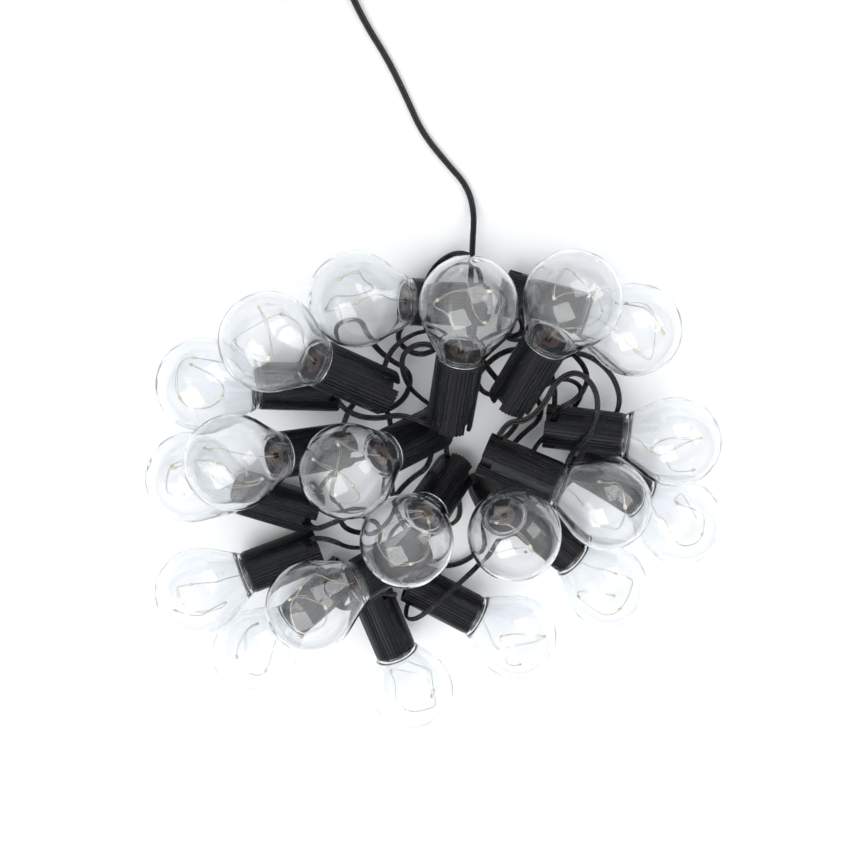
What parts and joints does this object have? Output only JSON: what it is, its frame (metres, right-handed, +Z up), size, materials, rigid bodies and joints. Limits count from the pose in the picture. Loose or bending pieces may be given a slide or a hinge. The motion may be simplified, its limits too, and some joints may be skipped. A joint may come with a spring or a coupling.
{
  "type": "solar string lights",
  "caption": "Solar string lights: clear globe lamps with fine LED wires on a black two-core cord, in a pile, with a solar panel unit on a tilting stand.",
  "frame": {"origin": "on the floor, under the middle of the bounding box of the lamps and the solar unit", "axes": "+Z up; +Y from the pile of lamps towards the solar unit; +X along the solar unit's hinge"},
  "size_m": [0.332, 0.515, 0.1008],
  "materials": {
    "holder_plastic": "satin, ribbed",
    "cord_black": "satin",
    "clear_globe": "clear, polished",
    "led_wire": "bright fine wire with clear resin drops",
    "black_rubber": "matte",
    "tie_white": "satin",
    "case_plastic": "fine texture",
    "solar_laminate": "clear resin over dark blue cells",
    "board_green": "solder mask",
    "battery_sleeve": "shrink sleeve",
    "plated_steel": "nickel plated",
    "button_rubber": "matte"
  },
  "bodies": {
    "lights": {"lampholder_01": "holder_plastic", "lampholder_02": "holder_plastic", "lampholder_03": "holder_plastic", "lampholder_04": "holder_plastic", "lampholder_05": "holder_plastic", "lampholder_06": "holder_plastic", "lampholder_07": "holder_plastic", "lampholder_08": "holder_plastic", "lampholder_09": "holder_plastic", "lampholder_10": "holder_plastic", "lampholder_11": "holder_plastic", "lampholder_12": "holder_plastic", "lampholder_13": "holder_plastic", "lampholder_14": "holder_plastic", "lampholder_15": "holder_plastic", "lampholder_16": "holder_plastic", "lampholder_17": "holder_plastic", "lampholder_18": "holder_plastic", "lampholder_19": "holder_plastic", "lampholder_20": "holder_plastic", "string_cord_01": "cord_black", "string_cord_02": "cord_black", "string_cord_03": "cord_black", "string_cord_04": "cord_black", "string_cord_05": "cord_black", "string_cord_06": "cord_black", "string_cord_07": "cord_black", "string_cord_08": "cord_black", "string_cord_09": "cord_black", "string_cord_10": "cord_black", "string_cord_11": "cord_black", "string_cord_12": "cord_black", "string_cord_13": "cord_black", "string_cord_14": "cord_black", "string_cord_15": "cord_black", "string_cord_16": "cord_black", "string_cord_17": "cord_black", "string_cord_18": "cord_black", "string_cord_19": "cord_black", "lead_cord": "cord_black", "lead_coil": "cord_black", "lead_tail": "cord_black", "globes": "clear_globe", "led_strings": "led_wire", "cord_grommets": "black_rubber", "coil_tie": "tie_white", "panel_frame": "case_plastic", "solar_panel": "solar_laminate", "rear_case": "case_plastic", "case_gasket": "black_rubber", "circuit_board": "board_green", "battery_cell": "battery_sleeve", "battery_contacts": "plated_steel", "battery_door": "case_plastic", "case_screws": "plated_steel", "cable_gland": "black_rubber"},
    "stand": {"stand_bracket": "case_plastic", "pivot_bolt": "plated_steel"},
    "power_button": {"power_button": "button_rubber"},
    "mode_button": {"mode_button": "button_rubber"}
  },
  "joints": [
    {"name": "stand_tilt", "type": "hinge", "parent": "lights", "child": "stand", "pos_m": [0.015, 0.2325, 0.04], "axis": [1, 0, 0], "range_deg": [-25, 45]},
    {"name": "power_press", "type": "slide", "parent": "lights", "child": "power_button", "axis": [0, -0.5736, 0.8192], "range_m": [0, 0.001], "stiffness_N_per_m": 500, "springref_m": -0.002},
    {"name": "mode_press", "type": "slide", "parent": "lights", "child": "mode_button", "axis": [0, -0.5736, 0.8192], "range_m": [0, 0.001], "stiffness_N_per_m": 500, "springref_m": -0.002}
  ]
}
